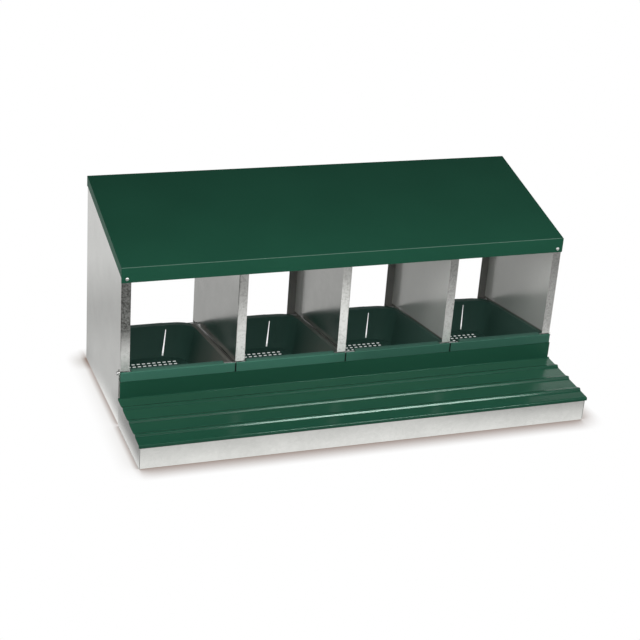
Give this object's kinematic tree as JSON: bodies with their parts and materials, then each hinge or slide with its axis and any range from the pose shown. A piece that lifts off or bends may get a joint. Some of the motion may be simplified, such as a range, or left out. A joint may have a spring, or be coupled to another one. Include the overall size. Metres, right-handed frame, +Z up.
{
  "type": "chicken nesting box",
  "caption": "Galvanised laying nest for hens with a sloping green roof, plastic basins that roll the eggs forward and an egg tray under a ribbed hinged lid.",
  "frame": {"origin": "on the floor, under the middle of the whole outline, lid and roof included", "axes": "+X along the row of nests, to the right as seen from the front; +Y to the back, away from the egg tray; +Z up"},
  "size_m": [1.012, 0.5286, 0.4395],
  "materials": {
    "zinc": "galvanised sheet with a zinc spangle",
    "green_sheet": "satin green coated sheet",
    "nest_plastic": "moulded dark green, half gloss",
    "rod_steel": "zinc plated rod",
    "rivet_metal": "plain bright metal"
  },
  "bodies": {
    "body": {"side_panel_left": "zinc", "side_panel_right": "zinc", "divider_left": "zinc", "divider_middle": "zinc", "divider_right": "zinc", "roof": "green_sheet", "fascia_rivets": "rivet_metal", "back_rivets": "rivet_metal", "front_rod": "rod_steel", "front_rod_caps": "rivet_metal", "rear_rod": "rod_steel", "rear_rod_caps": "rivet_metal", "egg_tray": "zinc", "tray_end_left": "zinc", "tray_end_right": "zinc"},
    "lid": {"egg_lid": "green_sheet", "lid_ears": "zinc"},
    "nest_1": {"nest_basin_1": "nest_plastic"},
    "nest_2": {"nest_basin_2": "nest_plastic"},
    "nest_3": {"nest_basin_3": "nest_plastic"},
    "nest_4": {"nest_basin_4": "nest_plastic"}
  },
  "joints": [
    {"name": "lid_hinge", "type": "hinge", "parent": "body", "child": "lid", "pos_m": [0, -0.06435, 0.1195], "axis": [-1, 0, 0], "range_deg": [0, 95]},
    {"name": "nest_1_lift", "type": "slide", "parent": "body", "child": "nest_1", "axis": [0, 0, 1], "range_m": [0, 0.1]},
    {"name": "nest_2_lift", "type": "slide", "parent": "body", "child": "nest_2", "axis": [0, 0, 1], "range_m": [0, 0.1]},
    {"name": "nest_3_lift", "type": "slide", "parent": "body", "child": "nest_3", "axis": [0, 0, 1], "range_m": [0, 0.1]},
    {"name": "nest_4_lift", "type": "slide", "parent": "body", "child": "nest_4", "axis": [0, 0, 1], "range_m": [0, 0.1]}
  ]
}
